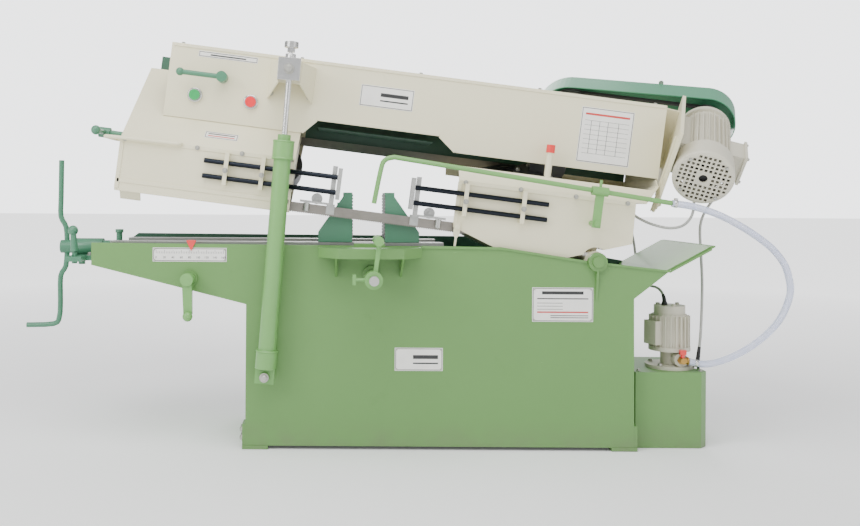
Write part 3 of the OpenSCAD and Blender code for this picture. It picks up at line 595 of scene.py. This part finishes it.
table_rules = [(-0.42, 0.42, 0.36, 0.006)] + [(-0.42, 0.42, 0.26 - 0.085 * k, 0.0008) for k in range(8)] \
    + [(c, c + 0.008, -0.335, 0.098) for c in (-0.30, -0.14, 0.02, 0.22)]
guard_slope = math.atan2(276, 240)
name_plate("bow_plate", "bow", bow_plate(-0.6536, casing_front, 0.4017), 0.160, 0.064,
           [(-0.12, 0.40, 0.02, 0.011), (-0.12, 0.40, -0.20, 0.004)])
name_plate("speed_table_plate", "bow", bow_plate(0.0077, casing_front, 0.370), 0.158, 0.165, table_rules, (0.36,))
name_plate("strip_plate", "bow", bow_plate(-1.1383, casing_front, 0.462), 0.178, 0.018,
           [(-0.30, 0.30, -0.14, 0.004)])
name_plate("caution_plate", "bow", bow_plate(-1.1221, -0.1508, 0.2223, guard_slope), 0.098, 0.030,
           [(-0.40, 0.40, 0.10, 0.004), (-0.40, 0.40, -0.22, 0.004)], (-0.22,))
name_plate("base_plate", "base", base_plate(-0.0617, 0.2601), 0.138, 0.066,
           [(-0.12, 0.40, 0.02, 0.011), (-0.12, 0.40, -0.20, 0.004)], slot="base_paint")
name_plate("data_plate", "base", base_plate(0.350, 0.4194), 0.175, 0.098,
           [(-0.34, 0.34, 0.30, 0.009), (-0.42, 0.42, 0.16, 0.003)] + [(-0.42, 0.0, 0.04 - 0.09 * k, 0.0012)
                                                                     for k in range(3)]
           + [(-0.42, 0.42, -0.24, 0.004), (-0.20, 0.42, -0.33, 0.002), (-0.20, 0.42, -0.39, 0.002)],
           (-0.24,), "base_paint")
scale_wide, scale_high, scale_x, scale_z = 0.212, 0.040, -0.7205, 0.556
name_plate("vise_scale", "base", base_plate(scale_x, scale_z), scale_wide, scale_high,
           [((k - 20) / 44, (k - 20) / 44 + 0.004, 0.08, 0.010 if k % 5 == 0 else 0.006) for k in range(41)],
           slot="base_paint")
figures = []
for k in range(9):
    text = bpy.data.curves.new("figure", "FONT")
    text.body = str(k * 20)
    text.size = 0.0085
    text.align_x = "CENTER"
    text.extrude = 0.00015
    mark = bpy.data.objects.new("figure", text)
    bpy.context.collection.objects.link(mark)
    flat = bpy.data.meshes.new_from_object(mark.evaluated_get(bpy.context.evaluated_depsgraph_get()))
    flat.transform(base_plate(scale_x + (k * 5 - 20) / 44 * scale_wide, 0.5455)
                   @ Matrix.Translation((0, -0.0010, 0)) @ Matrix.Rotation(math.pi / 2, 4, "X"))
    bpy.data.objects.remove(mark)
    figures.append(flat)
add_piece("scale_figures", joined("scale_figures", figures), plate_ink, "base", "base_paint")
rivets = [(x0 + sx * w, base_front - plate_thick, z0 + sz * h) for x0, z0, w, h in
          ((-0.0617, 0.2601, 0.064, 0.028), (0.350, 0.4194, 0.082, 0.044), (scale_x, scale_z, 0.101, 0.015))
          for sx in (-1, 1) for sz in (-1, 1)]
hex_bolts("plate_rivets", "base", rivets, (0, -1, 0), 0.0036, 0.0008, "base_paint")

# ---- Bow casing and wheel guards ----
# Beige sheet over a welded arm. The guards' doors are folded outwards at their edges,
# stiffened by a hem, and held by small hexagon screws.
soften(0.0015, "bow_casing", "left_wheel_guard", "right_wheel_guard", "guide_clamps", "cylinder_bracket",
       "motor_mount")


def strip_between(name, a, b, wide, thick, face):
    """A flat strip from a to b in the bow's own frame, standing proud along face."""
    a, b, face = Vector(a), Vector(b), Vector(face).normalized()
    way = (b - a).normalized()
    across = way.cross(face)
    place = Matrix((way, across, face)).transposed().to_4x4()
    place.translation = a
    return block_mesh(name, (0, -wide / 2, 0), ((b - a).length, wide / 2, thick), bow_place @ place, thick * 0.35)


guard_front = -0.1960
hems = [strip_between("hem", (u0, guard_front, w0), (u1, guard_front, w1), 0.012, 0.0022, (0, -1, 0))
        for u0, w0, u1, w1 in (
            (-1.400, 0.178, -0.899, 0.178), (-1.400, 0.058, -0.899, 0.058), (-1.3985, 0.034, -1.3985, 0.180),
            (-0.901, 0.034, -0.901, 0.180), (-0.416, 0.054, -0.416, 0.178), (-0.412, 0.178, 0.088, 0.178))]
add_piece("guard_hems", joined("guard_hems", hems), beige, "bow", "beige_paint")
lips = [strip_between("lip", (u0, casing_front, w0), (u1, casing_front, w1), 0.010, 0.0025, (0, -1, 0))
        for u0, w0, u1, w1 in (
            (-0.893, 0.268, -0.854, 0.309), (-0.852, 0.313, -0.484, 0.313),
            (-0.482, 0.309, -0.431, 0.268), (-1.305, 0.481, 0.175, 0.481))]
add_piece("casing_lips", joined("casing_lips", lips), beige, "bow", "beige_paint")
hex_bolts("guard_screws", "bow", [on_bow(u, guard_front - 0.0022, 0.178)
                                  for u in (-1.39, -1.18, -1.05, -0.91, -0.40, -0.24, -0.08, 0.07)],
          bow_way(0, -1, 0), 0.009, 0.004, "beige_paint")
hex_bolts("casing_screws", "bow", [on_bow(u, y, 0.486) for u in (-1.28, -0.92, -0.56, -0.20, 0.15)
                                   for y in (-0.085, 0.185)], bow_way(0, 0, 1), 0.009, 0.004, "beige_paint")
hex_bolts("cover_screws", "bow", [on_bow(u, 0.209, w) for u in (-1.38, -1.05, -0.72, -0.39, -0.06, 0.155)
                                  for w in (0.262, 0.463)], bow_way(0, 1, 0), 0.010, 0.005, "dark_paint")
rod_pin_u = -0.941
hex_bolts("bracket_screws", "bow", [on_bow(rod_pin_u + side * 0.058, -0.1075, w) for side in (-1, 1)
                                    for w in (0.372, 0.440)],
          bow_way(0, -1, 0), 0.011, 0.005, "beige_paint")
hex_bolts("clamp_screws", "bow", [on_bow(u, -0.2210, 0.123) for u in (-1.090, -0.985, -0.396, -0.229)],
          bow_way(0, -1, 0), 0.010, 0.005)
hinges = []
for u in (-1.15, -0.62, -0.10):
    for k in range(3):
        low = u + k * 0.024
        hinges.append(tube_mesh("knuckle", [on_bow(low, 0.212, 0.476), on_bow(low + 0.022, 0.212, 0.476)], 0.005, 12))
add_piece("cover_hinges", joined("cover_hinges", hinges), dark_green, "bow", "dark_paint")

# ---- Blade ----
# A welded band of bimetal steel, toothed on its lower edge, running over both wheels
# and twisted upright between the guides.
band = bare_steel("blade_steel", "96918a", 0.34, (1.0, 1.0, 18.0))
dress(band, "saw_blade")
tilt = math.radians(32)
wheel_radius, drive_u, idler_u = 0.2, -0.180, -1.080
blade_y, blade_w = -0.180, 0.046
hub_y = blade_y + wheel_radius * math.cos(tilt)
hub_w = blade_w + wheel_radius * math.sin(tilt)
out_low = Vector((0, math.cos(tilt), math.sin(tilt)))
axle = Vector((0, -math.sin(tilt), math.cos(tilt)))
band_path = []
for centre, start in ((drive_u, 0), (idler_u, 180)):
    for k in range(0, 181, 3):
        a = math.radians(start + k)
        outwards = math.cos(a) * out_low + math.sin(a) * Vector((1, 0, 0))
        spot = Vector((centre, hub_y, hub_w)) + wheel_radius * outwards
        band_path.append((spot, axle))
    if start == 0:
        untwist = [(-0.200 - i * 0.022, 1 - i / 6) for i in range(1, 7)]
        upright = [(-0.36 - i * 0.028, 0) for i in range(20)]
        twist = [(-0.928 - i * 0.022, i / 6) for i in range(6)]
        for u, t in untwist + upright + twist:
            band_path.append((Vector((u, blade_y, blade_w)), Vector((0, -math.sin(tilt * t), math.cos(tilt * t)))))
tooth_bm = bmesh.new()
spacing, carry = 0.0064, 0.0
ring = band_path + band_path[:1]
for (a, up_a), (b, up_b) in zip(ring, ring[1:]):
    span = (b - a).length
    while carry < span and span > 0:
        f = carry / span
        up = up_a.lerp(up_b, f).normalized()
        way = (b - a).normalized()
        thick = way.cross(up) * 0.00045
        root = a.lerp(b, f) - up * 0.0134
        corners = [root + way * dx - up * dz for dx, dz in ((0, -0.0004), (0.0060, -0.0004), (0.0010, 0.0030))]
        front = [tooth_bm.verts.new(bow_place @ (c + thick)) for c in corners]
        back = [tooth_bm.verts.new(bow_place @ (c - thick)) for c in corners]
        tooth_bm.faces.new(front)
        tooth_bm.faces.new(back[::-1])
        for k in range(3):
            m = (k + 1) % 3
            tooth_bm.faces.new((front[k], back[k], back[m], front[m]))
        carry += spacing
    carry -= span
bmesh.ops.recalc_face_normals(tooth_bm, faces=tooth_bm.faces)
tooth_mesh = bpy.data.meshes.new("blade_teeth")
tooth_bm.to_mesh(tooth_mesh)
tooth_bm.free()
add_piece("blade_teeth", tooth_mesh, band, "bow", "ground_steel")

# ---- Operator's controls ----
# Two lit push buttons in chromed bezels, and the two-way feed lever on its collar.
for name, code, node in (("start", "1fa456", "start_button"), ("stop", "e8262f", "stop_button")):
    cap = Finish(name + "_cap", linear(code), 0.22, Coat_Weight=0.6)
    cap.set("Base Color", cap.blend(cap.noise(70.0), *cap.shades(0.12)))
    cap.set("Roughness", 0.16 + cap.noise(220.0) * 0.12)
    dress(cap, node)
soften(0.0020, "start_button", "stop_button")
bezels = [tube_mesh("bezel", [on_bow(u, y, 0.337) for y in (casing_front, -0.1085, -0.1105)],
                    [0.0225, 0.0225, 0.0195], 32) for u in (-1.223, -1.055)]
add_piece("button_bezels", joined("button_bezels", bezels), bright, "bow", "bright_steel")
red_cap = Finish("red_cap", linear("e0342f"), 0.28, Coat_Weight=0.4)
red_cap.set("Base Color", red_cap.blend(red_cap.noise(60.0), *red_cap.shades(0.12)))
dress(red_cap, "pump_tap", "scale_pointer")
filler = enamel("filler_enamel", "e3ddbe")
neck_top = 0.2982
is_cap = bow_axis(filler, "Z") > neck_top
filler.set("Base Color", filler.blend(is_cap, filler.blend(filler.noise(50.0), *filler.shades(0.08)),
                                      linear("e0342f")))
dress(filler, "oil_filler")

# ---- Motor and gearbox ----
# A finned cast aluminium motor with a pressed steel cowl and a fan behind its square grille.
cast_paint = enamel("motor_enamel", "c9c5b3", 0.44, 0.06, 0.5)
dress(cast_paint, "motor_body", "motor_cowl")
wheel_place = bow_place @ Matrix.Translation((drive_u, hub_y, hub_w)) @ Matrix.Rotation(tilt, 4, "X")
drive_place = wheel_place @ Matrix.Rotation(math.radians(-16), 4, "Z")
box_way, shaft_way, wheel_axle = ((drive_place.to_3x3() @ Vector(way)).normalized()
                                  for way in ((1, 0, 0), (0, 1, 0), (0, 0, 1)))
motor_x, motor_z = 0.460, 0.220


def on_drive(x, y, z):
    return drive_place @ Vector((x, y, z))


fan = []
for k in range(9):
    blade = block_mesh("vane", (0.020, 0.024, -0.0012), (0.072, 0.044, 0.0012), None, 0)
    blade.transform(drive_place @ Matrix.Translation((motor_x, 0, motor_z))
                    @ Matrix.Rotation(math.tau * k / 9, 4, "Y"))
    fan.append(blade)
fan.append(tube_mesh("fan_hub", [on_drive(motor_x, y, motor_z) for y in (0.020, 0.052)], 0.024, 24))
black_nylon = Finish("black_nylon", linear("222325"), 0.5)
black_nylon.set("Base Color", black_nylon.blend(black_nylon.noise(60.0), *black_nylon.shades(0.3)))
black_nylon.bump(black_nylon.noise(400.0), 0.2, 0.0004)
add_piece("motor_fan", joined("motor_fan", fan), black_nylon, "bow", "belt_rubber")


def round_way(radius, count, start=0.0):
    return [(radius * math.cos(start + math.tau * k / count), radius * math.sin(start + math.tau * k / count))
            for k in range(count)]


on_corners = 0.785
hex_bolts("cowl_screws", "bow", [on_drive(motor_x + a, 0.0052, motor_z + b)
                                 for a, b in round_way(0.070, 4, on_corners)],
          tuple(-shaft_way), 0.007, 0.003, "motor_paint")
hex_bolts("end_bell_bolts", "bow", [on_drive(motor_x + a, 0.358, motor_z + b)
                                    for a, b in round_way(0.060, 4, on_corners)],
          tuple(shaft_way), 0.010, 0.005, "motor_paint")
hex_bolts("terminal_screws", "bow", [on_drive(motor_x + 0.112, 0.170 + a, motor_z + b)
                                     for a in (-0.048, 0.048) for b in (-0.038, 0.038)],
          tuple(box_way), 0.007, 0.003, "motor_paint")
hex_bolts("gearbox_bolts", "bow", [on_drive(a, b, 0.098) for a, b in round_way(0.050, 6)],
          tuple(wheel_axle), 0.010, 0.005, "cast_iron")

# ---- Belt drive ----
# Two V-belts run in grooved iron pulleys under a dark green hood of rolled sheet.
hood = enamel("hood_enamel", "4a8d6b", 0.30, 0.10)
dress(hood, "belt_guard")
rubber = Finish("belt_rubber", (0.028, 0.028, 0.030), 0.7)
rubber.set("Base Color", rubber.blend(rubber.noise(80.0), (0.02, 0.02, 0.02), (0.06, 0.06, 0.06)))
rubber.set("Roughness", 0.6 + rubber.noise(200.0) * 0.25)
rubber.bump(rubber.noise(500.0), 0.4, 0.0005)
dress(rubber, "drive_belts")
hex_bolts("hood_bolts", "bow", [on_drive(a, 0.475, b) for a, b in
                                ((-0.080, 0.160), (0.120, 0.245), (0.300, 0.290), (0.520, 0.240))],
          tuple(shaft_way), 0.010, 0.005, "lever_paint")

# ---- Feed cylinder ----
# A honed steel tube between screwed end blocks, whose chromed rod hangs from the bow's bracket.
# The needle valve on top has a knurled head.
dress(bright, "piston_rod", "rod_end_block", "feed_knob")
foot_x, foot_z, cylinder_lean = -0.4995, 0.218, math.radians(4.2996)
cylinder_place = Matrix.Translation((foot_x, -0.255, foot_z)) @ Matrix.Rotation(cylinder_lean, 4, "Y")
seams = [tube_mesh("seam", [cylinder_place @ Vector((0, 0, z)) for z in (low, low + 0.003, low + 0.006)],
                   [0.0300, 0.0312, 0.0300], 40) for low in (0.068, 0.612, 0.660)]
add_piece("cylinder_bands", joined("cylinder_bands", seams), cylinder_green, "cylinder", "cylinder_paint")
hex_bolts("cylinder_foot_bolt", "base", [(foot_x, -0.2802, foot_z)], (0, -1, 0), 0.017, 0.008, "base_paint")
knob_height, knurl_count = 0.8647 + 0.0458, 36
knurls = []
for k in range(knurl_count):
    rib = block_mesh("knurl", (0.0186, -0.0009, 0.0185), (0.0199, 0.0009, 0.0335), None, 0)
    rib.transform(cylinder_place @ Matrix.Translation((0, 0, knob_height))
                  @ Matrix.Rotation(math.tau * k / knurl_count, 4, "Z"))
    knurls.append(rib)
add_piece("knob_knurls", joined("knob_knurls", knurls), bright, "feed_knob", "bright_steel")
hex_bolts("bracket_pin_head", "bow", [on_bow(rod_pin_u, -0.2932, 0.426)], bow_way(0, -1, 0), 0.018, 0.006)

# ---- Coolant pump and its fittings ----
# The pump's cast motor stands on the tank lid, and its outlet elbow and the hose tails are brass.
brass = Finish("brass", linear("b8924e"), 0.3, 0.9)
brass.set("Base Color", brass.blend(brass.noise(60.0), linear("96753c"), linear("cfab66")))
brass.set("Roughness", 0.26 + brass.noise(150.0) * 0.2)
outlet_height, outlet_face = 0.250, -0.1405
elbow = [tube_mesh("elbow", [Vector((x, -0.151, outlet_height)) for x in (0.7305, 0.7325, 0.7345)],
                   [0.0112, 0.0122, 0.0112], 24),
         tube_mesh("gland_ring", [Vector((0.718, y, outlet_height)) for y in (-0.143, -0.140, outlet_face)],
                   [0.0125, 0.0125, 0.0110], 6)]
add_piece("outlet_fittings", joined("outlet_fittings", elbow), brass, "base", "motor_paint")
pump_cast = enamel("pump_enamel", "c3bfad", 0.44, 0.07, 0.5)
brass_part = (pump_cast.along("Y") < outlet_face) * pump_cast.along("Z").near(outlet_height, 0.0095)
pump_cast.set("Base Color", pump_cast.blend(brass_part, pump_cast.blend(pump_cast.noise(40.0),
                                                                        *pump_cast.shades(0.07)), linear("b8924e")))
pump_cast.set("Metallic", brass_part * 0.9)
dress(pump_cast, "coolant_pump")
hex_bolts("pump_flange_bolts", "base", [(0.704 + a, -0.080 + b, 0.230) for a, b in round_way(0.060, 4, on_corners)],
          (0, 0, 1), 0.010, 0.005, "motor_paint")
hex_bolts("lid_screws", "base", [(x, y, 0.220) for x in (0.588, 0.770) for y in (-0.150, 0.075)], (0, 0, 1),
          0.009, 0.004, "base_paint")


def hose_clip(name, body, route, at, radius):
    """A worm-drive clip round the hose at one point of its route."""
    here = Vector(route[at])
    way = (Vector(route[at + 1]) - here).normalized()
    band_clip = tube_mesh("clip", [here - way * 0.0045, here - way * 0.004, here + way * 0.004, here + way * 0.0045],
                     [radius + 0.0002, radius + 0.0010, radius + 0.0010, radius + 0.0002], 24)
    side = way.cross(Vector((0, 1, 0))).normalized()
    place = Matrix((way, side.cross(way), side)).transposed().to_4x4()
    place.translation = here
    screw = block_mesh("screw", (-0.004, -0.006, radius), (0.004, 0.008, radius + 0.006), place, 0.0006)
    add_piece(name, joined(name, [band_clip, screw]), bright, body, "bright_steel")


hose_route = smooth_route(hose_points, curve_steps)
hose_clip("hose_clip_upper", "bow", hose_route, 1, hose_radius)
hose_clip("hose_clip_lower", "base", hose_route, len(hose_route) - 4, hose_radius)

# ---- Cable glands ----
# Black nylon sleeves that grip each cable at both of its ends and taper along it.
sleeve = [0.0085, 0.0085, 0.0062, 0.0058, 0.0052, 0.0046]
for name, body, points, end in (("motor_gland", "bow", motor_points, 0), ("pump_gland", "base", pump_points, -1),
                                ("tank_gland", "base", motor_points, -1), ("back_gland", "bow", pump_points, 0)):
    route = smooth_route(points, curve_steps)
    line = route[:6] if end == 0 else route[:-7:-1]
    add_piece(name, tube_mesh(name, line, sleeve, 16), black_nylon, body, "cable")

# ---- Room ----
# A pale floor that glows as painted light, more strongly further from the machine, with a wide soft light overhead,
# one from the left and a weak one behind.
floor_mesh = bpy.data.meshes.new("floor")
reach, drop = 40, -0.001
floor_mesh.from_pydata([(x * reach, y * reach, drop) for x, y in ((-1, -1), (1, -1), (1, 1), (-1, 1))], [],
                       [(0, 1, 2, 3)])
floor = bpy.data.objects.new("floor", floor_mesh)
bpy.context.collection.objects.link(floor)
pale = Finish("pale_floor", (0.93, 0.93, 0.93), 0.75)
pale.set("Base Color", pale.blend(pale.noise(2.0), (0.92, 0.92, 0.92), (0.95, 0.95, 0.95)))
# Painted light: the floor glows, only faintly within 1.6 m of the middle and fully past 5.5 m, so its far part shows
# white.
far_floor_glow = pale.node("ShaderNodeVectorMath", {"operation": "LENGTH"}, {0: pale.place}, 1).steps(1.6, 5.5)
pale.set("Emission Color", pale.blend(far_floor_glow, (0.06, 0.06, 0.06), (1.35, 1.35, 1.35)))
pale.set("Emission Strength", 1.0)
floor_mesh.materials.append(pale.material)
lit_spot = Vector((-0.15, 0, 0.55))
for name, where, watts, wide in (("overhead", (-0.5, -1.4, 3.2), 92, 2.6), ("left", (-3.0, -2.4, 2.2), 62, 1.6),
                                 ("right", (3.0, -2.6, 1.6), 24, 2.0), ("behind", (0.4, 3.0, 2.4), 62, 2.4)):
    glow = bpy.data.lights.new(name, "AREA")
    glow.energy = watts
    glow.size = wide
    lamp = bpy.data.objects.new(name, glow)
    bpy.context.collection.objects.link(lamp)
    lamp.location = where
    lamp.rotation_euler = (lit_spot - Vector(where)).to_track_quat("-Z", "Y").to_euler()
sky = bpy.data.worlds.new("room")
sky.use_nodes = True
light_path = sky.node_tree.nodes.new("ShaderNodeLightPath")
brightness = sky.node_tree.nodes.new("ShaderNodeMapRange")
brightness.inputs["To Min"].default_value = 0.80
brightness.inputs["To Max"].default_value = 3.2
sky.node_tree.links.new(light_path.outputs["Is Camera Ray"], brightness.inputs["Value"])
backdrop = sky.node_tree.nodes["Background"]
backdrop.inputs["Color"].default_value = (0.97, 0.98, 1.0, 1)
sky.node_tree.links.new(brightness.outputs[0], backdrop.inputs["Strength"])
bpy.context.scene.world = sky
